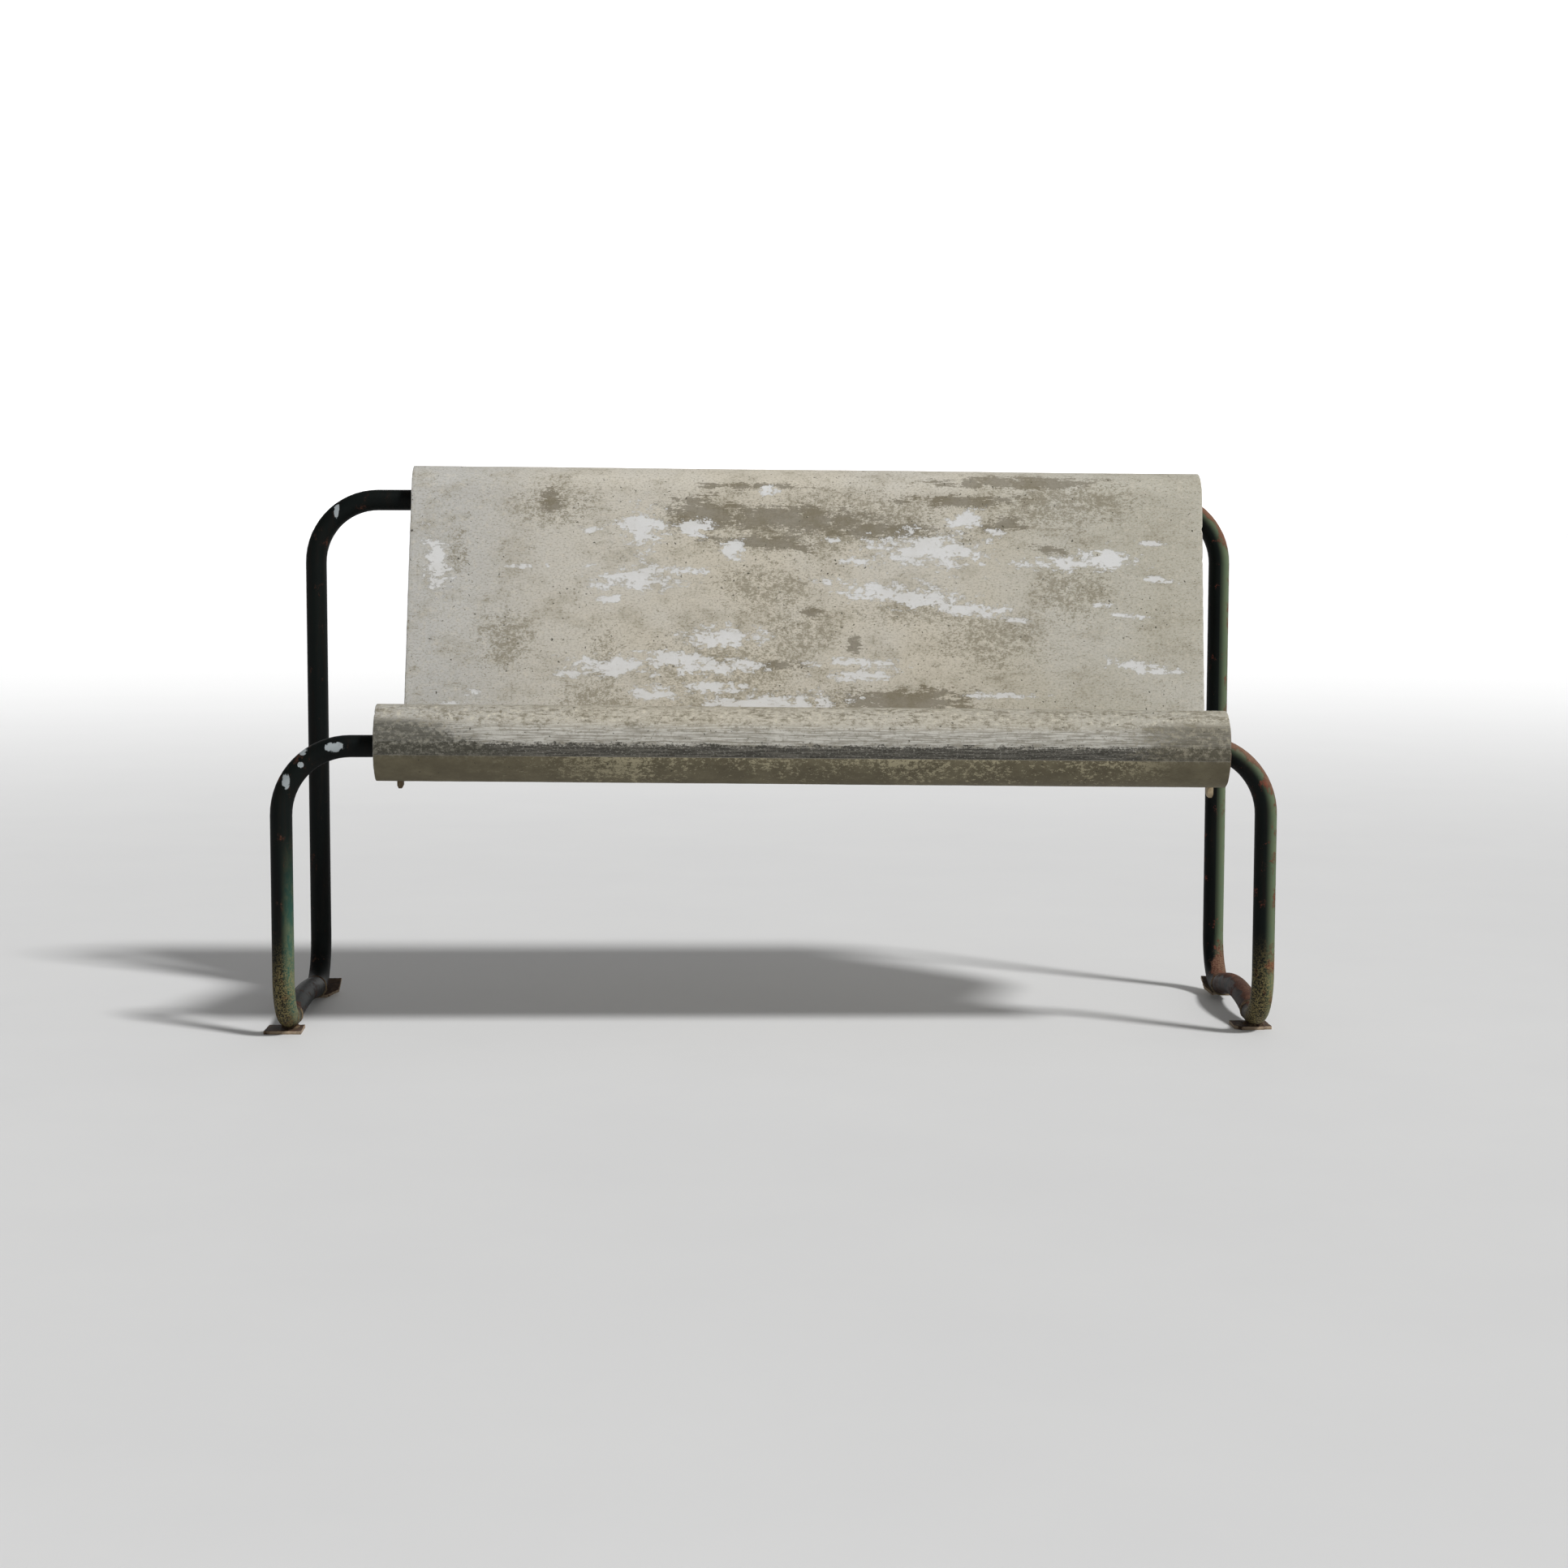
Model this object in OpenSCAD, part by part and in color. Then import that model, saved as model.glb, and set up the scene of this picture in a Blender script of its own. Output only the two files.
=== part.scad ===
// Street bench: one rolled sheet shell on a bent steel tube frame.
// Origin: on the ground, under the middle of the bench's outer box. +X is along
// the seat, +Y is to the back, +Z is up. Millimetres.

/* [Tube frame] */
// Outer diameter of the frame tube
tube_d = 30; // [26:1:34]
// Wall of the frame tube
tube_wall = 2.5; // [2:0.5:4]
// Distance between the axes of the two front legs
front_spacing = 1330; // [1320:5:1600]
// Distance between the axes of the two rear legs
rear_spacing = 1320; // [1310:2:1320]
// Distance from the front tube's axis to the rear tube's axis
frame_depth = 380; // [360:5:460]
// Height of the front rail's axis
front_rail_z = 398; // [380:1:440]
// Height of the rear rail's axis
rear_rail_z = 724; // [700:1:780]
// Bend radius where the front legs turn into the rail
front_bend_r = 94; // [60:1:100]
// Bend radius where the rear legs turn into the rail
rear_bend_r = 91; // [60:1:100]
// Bend radius where the legs turn into the runners
foot_bend_r = 66; // [50:1:80]
// Slope of the left runner where it leaves a foot bend, in degrees
left_runner_slope = 8; // [4:1:22]
// Slope of the right runner where it leaves a foot bend, in degrees
right_runner_slope = 15; // [4:1:22]

/* [Shell] */
// Length of the shell along the bench
shell_length = 1145; // [900:5:1150]
// Distance the shell sits to the right of the frame's middle
shell_offset = 36; // [0:1:36]
// Thickness of the shell
shell_t = 6; // [4:0.5:8]
// How far the shell hangs down to the right, in degrees
shell_droop = 0.5; // [0:0.1:0.6]
// Outer radius of the front roll
front_roll_r = 52; // [48:1:58]
// Outer radius of the top roll, which goes half way round
top_roll_r = 45; // [42:1:52]
// How far the hollow sits to the right of the front roll
seat_skew = 13; // [0:1:20]
// How far the top roll sits to the right of the hollow
back_skew = 3; // [0:0.5:6]
// Lean of the back and fall of the seat, which are square to each other, in degrees
lean = 15; // [8:1:20]
// Radius of the hollow between seat and back, on the side sat on
hollow_r = 45; // [30:5:80]
// How far round the front roll goes from the seat, in degrees
front_wrap = 186; // [150:2:200]

/* [Ribs] */
// Thickness of the ribs inside the rolls
rib_t = 8; // [7:0.5:12]
// Distance from the shell's left end to the middle of a rib
left_rib_inset = 32; // [20:1:60]
// Distance from the shell's right end to the middle of a rib
right_rib_inset = 19; // [14:1:60]
// How far the left front rib's toe hangs below the roll
left_toe_drop = 10; // [4:0.5:16]
// How far the right front rib's toe hangs below the roll
right_toe_drop = 14; // [4:0.5:16]
// Depth of a toe, front to back
toe_depth = 16; // [12:1:30]
// Diameter of the set screws that lock the ribs on the tubes
screw_d = 5; // [4:1:6]
// Length of a set screw
screw_length = 16; // [12:1:20]

/* [Feet] */
// Width of a foot plate
plate_w = 52; // [44:1:60]
// Length of a foot plate, front to back
plate_l = 52; // [44:1:60]
// Thickness of a foot plate
plate_t = 5; // [4:0.5:6]
// Lift of a rear foot plate's back edge, in degrees
rear_plate_tilt = 20; // [0:1:24]
// How far the left front plate sits towards the bench's middle
left_front_inset = -7; // [-8:1:8]
// How far the right front plate sits towards the bench's middle
right_front_inset = 3; // [-8:1:8]
// How far the left rear plate sits towards the bench's middle
left_rear_inset = 4; // [-8:1:8]
// How far the right rear plate sits towards the bench's middle
right_rear_inset = -8; // [-8:1:8]
// How far the left front plate reaches ahead of the bend's lowest point
left_front_ahead = 34; // [18:1:36]
// How far the right front plate reaches ahead of the bend's lowest point
right_front_ahead = 21; // [18:1:36]
// Radius of the weld under a foot bend
foot_weld_r = 13; // [10:1:15]
// Height of the bead round a runner's end
bead_h = 1.6; // [1:0.2:2.5]

/* [Hidden] */
$fn = 64;
fine_fn = 256;

LEFT = -1;
RIGHT = 1;
enamel = [0.10, 0.20, 0.18];
rust = [0.35, 0.22, 0.14];
weathered = [0.66, 0.64, 0.58];

tube_r = tube_d / 2;
bore_r = tube_r - tube_wall;
// Height of the tube's axis where a foot bend touches its front plate
foot_z = plate_t + tube_r;
// The rolls reach furthest forward and back, so they set the origin along Y
front_y = -(frame_depth + top_roll_r - front_roll_r) / 2;
rear_y = front_y + frame_depth;
// What reaches furthest out on each side of the frame sets it along X
function outer_x(front_inset, rear_inset) = max(
    front_spacing / 2 + plate_w / 2 - front_inset,
    rear_spacing / 2 + plate_w / 2 - rear_inset,
    front_spacing / 2 + tube_r + bead_h
);
frame_x = (outer_x(left_front_inset, left_rear_inset) - outer_x(right_front_inset, right_rear_inset)) / 2;

// Where a foot bend ends and the runner begins, from the leg's axis and up
function runner_slope(side) = side < 0 ? left_runner_slope : right_runner_slope;
function bend_end_y(side) = foot_bend_r * (1 + sin(runner_slope(side)));
function bend_end_z(side) = foot_z + foot_bend_r * (1 - cos(runner_slope(side)));
// A runner is an arch, turned a little because the rear legs stand closer
function runner_chord_y(side) = frame_depth - 2 * bend_end_y(side);
function runner_skew(side) = side * atan((front_spacing - rear_spacing) / 2 / runner_chord_y(side));
function arch_r(side) = runner_chord_y(side) / cos(runner_skew(side)) / 2 / sin(runner_slope(side));
// The arch is bent this many degrees long at each end, then trimmed to the foot bends
runner_spare = 2;

// Middle of the top roll from the middle of the front roll, along the seat and square to it
rolls = [frame_depth, rear_rail_z - front_rail_z];
roll_along = rolls * [cos(lean), -sin(lean)];
roll_up = rolls * [sin(lean), cos(lean)];
// Flat runs of the sheet, to 0.01 mm so that its stretches meet exactly
seat_run = round(100 * (roll_along - top_roll_r - hollow_r)) / 100;
back_run = round(100 * (roll_up - front_roll_r - hollow_r)) / 100;
// Front face of the back, and where its flat run starts, in the sheet's frame
back_y = seat_run + hollow_r;
back_z = front_roll_r + hollow_r;

// From the middle of the front roll to a rib, and how much further right the top ribs sit
function rib_x(side) = side * (shell_length / 2 - (side < 0 ? left_rib_inset : right_rib_inset));
top_shift = seat_skew + back_skew;
// Directions of the set screws, in degrees up from straight back
front_screw_angle = -30;
top_screw_angle = -60;

// How far a rear plate reaches ahead of the point where the tube touches it, down to the ground
rear_plate_ahead = (foot_z + foot_bend_r) * tan(rear_plate_tilt / 2);

function leg_x(side, spacing) = frame_x + side * spacing / 2;
// How far a rail's axis is down at x, past the start of its bend
function rail_drop(x, spacing, bend_r) =
    let (past = max(0, abs(x - frame_x) - spacing / 2 + bend_r))
    bend_r - sqrt(bend_r * bend_r - past * past);

// ---- Frame tube ----

// Bend in the XZ plane from +X round towards +Z, about the origin
module bend(bend_r, turn, r) {
    rotate([90, 0, 0])
        rotate_extrude(angle = turn)
            translate([bend_r, 0])
                circle(r);
}

// Places children at a front leg, with X towards the rear leg of that side
module at_front_leg(side) {
    translate([leg_x(side, front_spacing), front_y, 0])
        rotate([0, 0, 90])
            children();
}

// Places children at a rear leg, with X towards the front leg of that side
module at_rear_leg(side) {
    translate([leg_x(side, rear_spacing), rear_y, 0])
        rotate([0, 0, -90])
            children();
}

// Bend from a leg down and round towards the runner
module foot_bend(side, r) {
    translate([foot_bend_r, 0, foot_z + foot_bend_r])
        rotate([0, 180, 0])
            bend(foot_bend_r, 90 + runner_slope(side), r);
}

// Places children at the end of a foot bend, with Z along the tube to the runner
module at_bend_end(side) {
    translate([bend_end_y(side), 0, bend_end_z(side)])
        rotate([0, 90 - runner_slope(side), 0])
            children();
}

// Straight rail and its two corner bends, as a rod of radius r
module rail_rod(spacing, rail_z, bend_r, y, r) {
    straight = spacing / 2 - bend_r;
    translate([frame_x - straight, y, rail_z])
        rotate([0, 90, 0])
            cylinder(h = 2 * straight, r = r);
    for (side = [LEFT, RIGHT])
        translate([frame_x + side * straight, y, rail_z - bend_r])
            rotate([0, 0, side < 0 ? 180 : 0])
                bend(bend_r, 90, r);
}

module front_rail_rod(r) {
    rail_rod(front_spacing, front_rail_z, front_bend_r, front_y, r);
}

module rear_rail_rod(r) {
    rail_rod(rear_spacing, rear_rail_z, rear_bend_r, rear_y, r);
}

// Straight leg up to the given height, and its foot bend
module leg_rod(side, top, r) {
    translate([0, 0, foot_z + foot_bend_r])
        cylinder(h = top - foot_z - foot_bend_r, r = r);
    foot_bend(side, r);
}

module front_hoop_rod(r) {
    front_rail_rod(r);
    for (side = [LEFT, RIGHT])
        at_front_leg(side)
            leg_rod(side, front_rail_z - front_bend_r, r);
}

module rear_hoop_rod(r) {
    rear_rail_rod(r);
    for (side = [LEFT, RIGHT])
        at_rear_leg(side)
            leg_rod(side, rear_rail_z - rear_bend_r, r);
}

module front_hoop() {
    color(enamel)
        difference() {
            front_hoop_rod(tube_r);
            front_hoop_rod(bore_r);
        }
}

module rear_hoop() {
    color(enamel)
        difference() {
            rear_hoop_rod(tube_r);
            rear_hoop_rod(bore_r);
        }
}

// Arch of a runner, with spare degrees at each end. Its radius is large, so it has fine facets.
module runner_rod(side, r, spare) {
    $fn = fine_fn;
    slope = runner_slope(side);
    translate([leg_x(side, (front_spacing + rear_spacing) / 2), front_y + frame_depth / 2, 0])
        rotate([0, 0, 90 + runner_skew(side)])
            translate([0, 0, bend_end_z(side) - arch_r(side) * cos(slope)])
                rotate([0, slope + spare - 90, 0])
                    bend(arch_r(side), 2 * (slope + spare), r);
}

// Block on the foot bend's side of the joint, which trims the runner
module trim_block(side) {
    at_bend_end(side)
        translate([-tube_d, -tube_d, -tube_d])
            cube([2 * tube_d, 2 * tube_d, tube_d]);
}

module trimmed_runner(side) {
    difference() {
        runner_rod(side, tube_r, runner_spare);
        at_front_leg(side)
            trim_block(side);
        at_rear_leg(side)
            trim_block(side);
    }
}

module runner(side) {
    color(enamel)
        difference() {
            trimmed_runner(side);
            runner_rod(side, bore_r, runner_spare + 1);
        }
}

// ---- Welds between the hoops and the runners ----

// Domed ring round the tube, half on each side of the joint
module bead_ring(side) {
    color(rust)
        at_bend_end(side)
            rotate_extrude()
                intersection() {
                    translate([tube_r - bead_h, 0])
                        circle(2 * bead_h);
                    translate([tube_r, -2 * bead_h])
                        square([2 * bead_h, 4 * bead_h]);
                }
}

module front_weld(side) {
    at_front_leg(side)
        bead_ring(side);
}

module rear_weld(side) {
    at_rear_leg(side)
        bead_ring(side);
}

// ---- Shell ----

// Frame in the middle of the front roll, which droops with the shell
module in_shell_frame() {
    translate([frame_x + shell_offset, front_y, front_rail_z])
        rotate([0, shell_droop, 0])
            children();
}

// The same with Y along the seat and Z up the back
module in_sheet_frame() {
    in_shell_frame()
        rotate([-lean, 0, 0])
            children();
}

// Bent stretch of sheet round (y, z), from start on through turn degrees
module sheet_arc(y, z, r, start, turn) {
    translate([y, z, 0])
        rotate([0, 0, start])
            rotate_extrude(angle = turn)
                translate([r - shell_t, 0])
                    square([shell_t, shell_length]);
}

// Flat stretch of sheet under y = 0, whose far end sits skew further along Z
module sheet_flat(run, skew) {
    rotate([90, 0, 0])
        linear_extrude(shell_t)
            polygon([[0, 0], [run, skew], [run, skew + shell_length], [0, shell_length]]);
}

// Front roll, seat, hollow, back and top roll, bent from one sheet
module seat_shell() {
    color(weathered)
        in_sheet_frame()
            translate([-shell_length / 2, 0, 0])
                rotate([90, 0, 90]) {
                    sheet_arc(0, 0, front_roll_r, 90, front_wrap);
                    translate([0, front_roll_r, 0])
                        sheet_flat(seat_run, seat_skew);
                    translate([0, 0, seat_skew])
                        sheet_arc(seat_run, back_z, hollow_r + shell_t, 270, 90);
                    translate([back_y, back_z, seat_skew])
                        rotate([0, 0, 90])
                            sheet_flat(back_run, back_skew);
                    translate([0, 0, top_shift])
                        sheet_arc(back_y + top_roll_r, back_z + back_run, top_roll_r, 0, 180);
                }
}

// ---- Ribs ----

// Disc that fills a roll
module rib_disc(roll_r) {
    rotate([0, 90, 0])
        cylinder(h = rib_t, r = roll_r - shell_t, center = true);
}

// Tongue with a chamfered end that hangs down behind the front roll's lip
module rib_toe(drop) {
    half = rib_t / 2;
    chamfer = rib_t / 4;
    tip = -front_roll_r - drop;
    translate([0, toe_depth, 0])
        rotate([90, 0, 0])
            linear_extrude(toe_depth)
                polygon([
                    [-half, -tube_r],
                    [-half, tip + 2 * chamfer],
                    [-half + chamfer, tip],
                    [half - chamfer, tip],
                    [half, tip + 2 * chamfer],
                    [half, -tube_r]
                ]);
}

// Places children on the rail's axis in a front rib, with Z out along its set screw
module at_front_screw(side) {
    x = frame_x + shell_offset + rib_x(side) / cos(shell_droop);
    translate([x, front_y, front_rail_z - rail_drop(x, front_spacing, front_bend_r)])
        rotate([front_screw_angle - 90, 0, 0])
            children();
}

// The same in a top rib
module at_top_screw(side) {
    lean_x = (rear_rail_z - front_rail_z) * tan(shell_droop);
    x = frame_x + shell_offset + (rib_x(side) + top_shift) / cos(shell_droop) + lean_x;
    translate([x, rear_y, rear_rail_z - rail_drop(x, rear_spacing, rear_bend_r)])
        rotate([top_screw_angle - 90, 0, 0])
            children();
}

module screw_hole() {
    cylinder(h = 2 * front_roll_r, d = screw_d);
}

module front_rib(side, drop) {
    color(weathered)
        difference() {
            in_shell_frame()
                translate([rib_x(side), 0, 0]) {
                    rib_disc(front_roll_r);
                    rib_toe(drop);
                }
            front_rail_rod(tube_r);
            at_front_screw(side)
                screw_hole();
        }
}

module top_rib(side) {
    color(weathered)
        difference() {
            in_sheet_frame()
                translate([rib_x(side) + top_shift, back_y + top_roll_r, back_z + back_run])
                    rib_disc(top_roll_r);
            rear_rail_rod(tube_r);
            at_top_screw(side)
                screw_hole();
        }
}

// Set screw with a hexagon socket, long enough to be cut to the tube
module set_screw() {
    difference() {
        translate([0, 0, tube_r - 1])
            cylinder(h = screw_length + 1, d = screw_d);
        translate([0, 0, tube_r + screw_length - screw_d / 2])
            cylinder(h = screw_d, d = screw_d / 2, $fn = 6);
    }
}

module set_screws() {
    color(rust)
        difference() {
            for (side = [LEFT, RIGHT]) {
                at_front_screw(side)
                    set_screw();
                at_top_screw(side)
                    set_screw();
            }
            front_rail_rod(tube_r);
            rear_rail_rod(tube_r);
        }
}

// ---- Feet ----

// Places children where a front foot bend touches its plate, with Y to the back
module at_front_foot(side) {
    translate([leg_x(side, front_spacing), front_y + foot_bend_r, plate_t])
        children();
}

// Places children where a rear foot bend touches its plate, whose back edge is up
module at_rear_foot(side) {
    translate([leg_x(side, rear_spacing), rear_y - foot_bend_r, foot_z + foot_bend_r])
        rotate([rear_plate_tilt, 0, 0])
            translate([0, 0, -foot_bend_r - tube_r])
                children();
}

// Plate from ahead of the point of contact, shifted towards the bench's middle
module plate(side, ahead, inset) {
    translate([-side * inset - plate_w / 2, -ahead, -plate_t])
        cube([plate_w, plate_l, plate_t]);
}

module front_plate(side, ahead, inset) {
    color(rust)
        at_front_foot(side)
            plate(side, ahead, inset);
}

module rear_plate(side, inset) {
    color(rust)
        at_rear_foot(side)
            plate(side, rear_plate_ahead, inset);
}

// Weld along both flanks of a foot bend, clear of the line where it touches the plate.
// Little is left of it once the bend is cut out, so it and the bend have fine facets.
module flank_fillets() {
    gap = tube_r / 3;
    difference() {
        cylinder(h = foot_weld_r / 2, r1 = foot_weld_r, r2 = foot_weld_r / 2);
        translate([-gap / 2, -foot_weld_r, -1])
            cube([gap, 2 * foot_weld_r, foot_weld_r]);
    }
}

module front_foot_weld(side) {
    $fn = fine_fn;
    color(rust)
        difference() {
            at_front_foot(side)
                flank_fillets();
            at_front_leg(side)
                foot_bend(side, tube_r);
        }
}

module rear_foot_weld(side) {
    $fn = fine_fn;
    color(rust)
        difference() {
            at_rear_foot(side)
                flank_fillets();
            at_rear_leg(side)
                foot_bend(side, tube_r);
        }
}

front_hoop();
rear_hoop();
runner(LEFT);  // runner_left
runner(RIGHT);  // runner_right
front_weld(LEFT);  // weld_front_left
front_weld(RIGHT);  // weld_front_right
rear_weld(LEFT);  // weld_rear_left
rear_weld(RIGHT);  // weld_rear_right
front_plate(LEFT, left_front_ahead, left_front_inset);  // foot_plate_front_left
front_plate(RIGHT, right_front_ahead, right_front_inset);  // foot_plate_front_right
rear_plate(LEFT, left_rear_inset);  // foot_plate_rear_left
rear_plate(RIGHT, right_rear_inset);  // foot_plate_rear_right
front_foot_weld(LEFT);  // foot_weld_front_left
front_foot_weld(RIGHT);  // foot_weld_front_right
rear_foot_weld(LEFT);  // foot_weld_rear_left
rear_foot_weld(RIGHT);  // foot_weld_rear_right
seat_shell();
front_rib(LEFT, left_toe_drop);  // rib_front_left
front_rib(RIGHT, right_toe_drop);  // rib_front_right
top_rib(LEFT);  // rib_top_left
top_rib(RIGHT);  // rib_top_right
set_screws();
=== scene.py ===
"""Looks of the street bench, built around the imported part.

Metres, in the part's frame: origin on the ground under the middle, +X along the seat,
+Y to the back, +Z up. The weathered shell, foot plates and welds are modelled here. The
tubes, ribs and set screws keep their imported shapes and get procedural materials.
"""

import math

import bpy
import numpy as np
from mathutils import Matrix, Vector, noise


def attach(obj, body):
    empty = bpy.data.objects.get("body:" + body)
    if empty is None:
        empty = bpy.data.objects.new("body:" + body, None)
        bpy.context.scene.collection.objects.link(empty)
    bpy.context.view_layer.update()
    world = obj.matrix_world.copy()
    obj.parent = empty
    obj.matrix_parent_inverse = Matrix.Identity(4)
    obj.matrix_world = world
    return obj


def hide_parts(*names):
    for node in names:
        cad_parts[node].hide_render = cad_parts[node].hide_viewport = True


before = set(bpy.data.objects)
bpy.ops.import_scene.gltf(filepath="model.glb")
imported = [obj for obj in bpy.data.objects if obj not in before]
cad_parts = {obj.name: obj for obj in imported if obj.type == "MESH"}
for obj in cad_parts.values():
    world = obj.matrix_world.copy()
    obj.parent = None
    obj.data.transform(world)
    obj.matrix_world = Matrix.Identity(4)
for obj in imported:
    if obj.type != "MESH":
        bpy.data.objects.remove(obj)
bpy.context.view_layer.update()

# ---- Dimensions of the part, in metres and radians ----

LEFT = -1
RIGHT = 1
SIDES = {"left": LEFT, "right": RIGHT}

TUBE_R = 0.015
FRAME_X = 0.002
LEG_SPACING = {"front": 1.330, "rear": 1.320}
RAIL_Y = {"front": -0.1865, "rear": 0.1935}
FRONT_RAIL_Z = 0.398
REAR_RAIL_Z = 0.724
FOOT_BEND_R = 0.066
RUNNER_SLOPE = {"left": math.radians(8), "right": math.radians(15)}
PLATE_T = 0.005
FOOT_Z = PLATE_T + TUBE_R
REAR_PLATE_TILT = math.radians(20)

SHELL_LENGTH = 1.145
SHELL_OFFSET = 0.036
SHELL_T = 0.006
SHELL_DROOP = math.radians(0.5)
LEAN = math.radians(15)
FRONT_ROLL_R = 0.052
FRONT_WRAP = math.radians(186)
TOP_ROLL_R = 0.045
HOLLOW_R = 0.045
SEAT_SKEW = 0.013
BACK_SKEW = 0.003

# From the middle of the front roll to the middle of the top roll
ROLLS_Y = RAIL_Y["rear"] - RAIL_Y["front"]
ROLLS_Z = REAR_RAIL_Z - FRONT_RAIL_Z
SEAT_RUN = ROLLS_Y * math.cos(LEAN) - ROLLS_Z * math.sin(LEAN) - TOP_ROLL_R - HOLLOW_R
BACK_RUN = ROLLS_Y * math.sin(LEAN) + ROLLS_Z * math.cos(LEAN) - FRONT_ROLL_R - HOLLOW_R

# How finely the visible sheet is divided, and how its edges are rounded and worn
FACE_STEP = 0.005
PROFILE_ROWS = 190
EDGE_R = 0.0016
CORNER_POINTS = 4
WEAR_REACH = 0.004
# Value of a flake, smear or mottle field far from all its places
FAR_AWAY = -3.0

# The sheet's stretches in turn: front roll, seat, hollow, back and top roll
RUNS = [
    FRONT_ROLL_R * FRONT_WRAP,
    SEAT_RUN,
    HOLLOW_R * math.pi / 2,
    BACK_RUN,
    TOP_ROLL_R * math.pi,
]
RUN_ENDS = np.cumsum([0.0] + RUNS)
SHEET_LENGTH = float(RUN_ENDS[-1])

# The sheet's frame: Y along the seat, Z up the back, origin in the middle of the front roll
SHEET = (
    Matrix.Translation((FRAME_X + SHELL_OFFSET, RAIL_Y["front"], FRONT_RAIL_Z))
    @ Matrix.Rotation(SHELL_DROOP, 4, "Y")
    @ Matrix.Rotation(-LEAN, 4, "X")
)


# ---- Mesh helpers ----

def make_piece(name, verts, faces, material, replaced):
    """Links a smooth mesh piece that stands for the replaced CAD nodes."""
    mesh = bpy.data.meshes.new(name)
    mesh.from_pydata([tuple(v) for v in verts], [], faces)
    mesh.validate()
    mesh.shade_smooth()
    mesh.materials.append(material)
    obj = bpy.data.objects.new(name, mesh)
    bpy.context.scene.collection.objects.link(obj)
    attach(obj, "root")
    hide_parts(*replaced)
    return obj


def add_field(mesh, name, kind, values):
    """Stores one float or vector for each vertex, for the materials to read."""
    attribute = mesh.attributes.new(name, kind, "POINT")
    key = "value" if kind == "FLOAT" else "vector"
    attribute.data.foreach_set(key, np.asarray(values, np.float32).ravel())


def ring_faces(rings, count, closed=False):
    """Quads between rings of count vertices each, and back to the first ring when closed."""
    faces = []
    for i in range(rings if closed else rings - 1):
        here = i * count
        there = (i + 1) % rings * count
        for j in range(count):
            k = (j + 1) % count
            faces.append((here + j, here + k, there + k, there + j))
    return faces


# ---- Node helper ----

def srgb(red, green, blue):
    """Linear colour of an sRGB colour given as 0 to 255."""
    channels = [c / 255 for c in (red, green, blue)]
    return [c / 12.92 if c <= 0.04045 else ((c + 0.055) / 1.055) ** 2.4 for c in channels]


class Graph:
    """A material's nodes. Each call adds its nodes and returns the last one's output."""

    def __init__(self, name):
        self.material = bpy.data.materials.new(name)
        self.material.use_nodes = True
        self.tree = self.material.node_tree
        self.shader = self.tree.nodes["Principled BSDF"]

    def put(self, socket, value):
        if isinstance(value, bpy.types.NodeSocket):
            self.tree.links.new(value, socket)
        elif socket.type == "RGBA":
            socket.default_value = (*value, 1.0)
        else:
            socket.default_value = value

    def node(self, kind, inputs, output=0, **settings):
        new = self.tree.nodes.new(kind)
        for key, value in settings.items():
            setattr(new, key, value)
        for key, value in inputs.items():
            self.put(new.inputs[key], value)
        return new.outputs[output]

    def field(self, name, output="Fac"):
        return self.node("ShaderNodeAttribute", {}, output, attribute_name=name)

    def math(self, operation, a, b=0.0, c=0.0):
        return self.node("ShaderNodeMath", {0: a, 1: b, 2: c}, operation=operation)

    def stretch(self, vector, scale, offset=(0, 0, 0)):
        return self.node(
            "ShaderNodeVectorMath", {0: vector, 1: scale, 2: offset}, operation="MULTIPLY_ADD"
        )

    def dot(self, vector, direction):
        return self.node(
            "ShaderNodeVectorMath", {0: vector, 1: direction}, "Value", operation="DOT_PRODUCT"
        )

    def length(self, vector):
        return self.node("ShaderNodeVectorMath", {0: vector}, "Value", operation="LENGTH")

    def axis(self, vector, index):
        return self.node("ShaderNodeSeparateXYZ", {0: vector}, index)

    def noise(self, vector, scale, detail=4.0, roughness=0.6, distortion=0.0):
        inputs = {
            "Vector": vector, "Scale": scale, "Detail": detail,
            "Roughness": roughness, "Distortion": distortion,
        }
        return self.node("ShaderNodeTexNoise", inputs)

    def step(self, value, low, high, start=0.0, end=1.0):
        """Smooth step of value from low to high, which may run downwards."""
        if low > high:
            low, high, start, end = high, low, end, start
        inputs = {"Value": value, "From Min": low, "From Max": high, "To Min": start, "To Max": end}
        return self.node("ShaderNodeMapRange", inputs, interpolation_type="SMOOTHSTEP")

    def band(self, value, low, high, blur):
        """1 between low and high, with blurred ends."""
        rise = self.step(value, low - blur, low + blur)
        return self.math("MULTIPLY", rise, self.step(value, high + blur, high - blur))

    def mix(self, factor, a, b):
        new = self.tree.nodes.new("ShaderNodeMix")
        new.data_type = "RGBA"
        for key, value in {0: factor, 6: a, 7: b}.items():
            self.put(new.inputs[key], value)
        return new.outputs[2]

    def paint(self, color, mask, strength, over):
        """The colour with another laid over it where the mask is, at the given strength."""
        return self.mix(self.math("MULTIPLY", mask, strength), color, over)

    def all_of(self, *masks):
        """Product of the masks."""
        result = masks[0]
        for mask in masks[1:]:
            result = self.math("MULTIPLY", result, mask)
        return result

    def sum_of(self, *terms):
        """Sum of (value, weight) pairs."""
        result = 0.0
        for value, weight in terms:
            result = self.math("MULTIPLY_ADD", value, weight, result)
        return result

    def finish(self, color, roughness, height, depth, specular=0.3):
        """Links colour, roughness and a bump of the given depth in metres."""
        bump = self.node("ShaderNodeBump", {"Strength": 1.0, "Distance": depth, "Height": height})
        self.put(self.shader.inputs["Base Color"], color)
        self.put(self.shader.inputs["Roughness"], roughness)
        self.put(self.shader.inputs["Normal"], bump)
        self.shader.inputs["Specular IOR Level"].default_value = specular
        return self.material


# ---- Weathered shell ----

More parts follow.
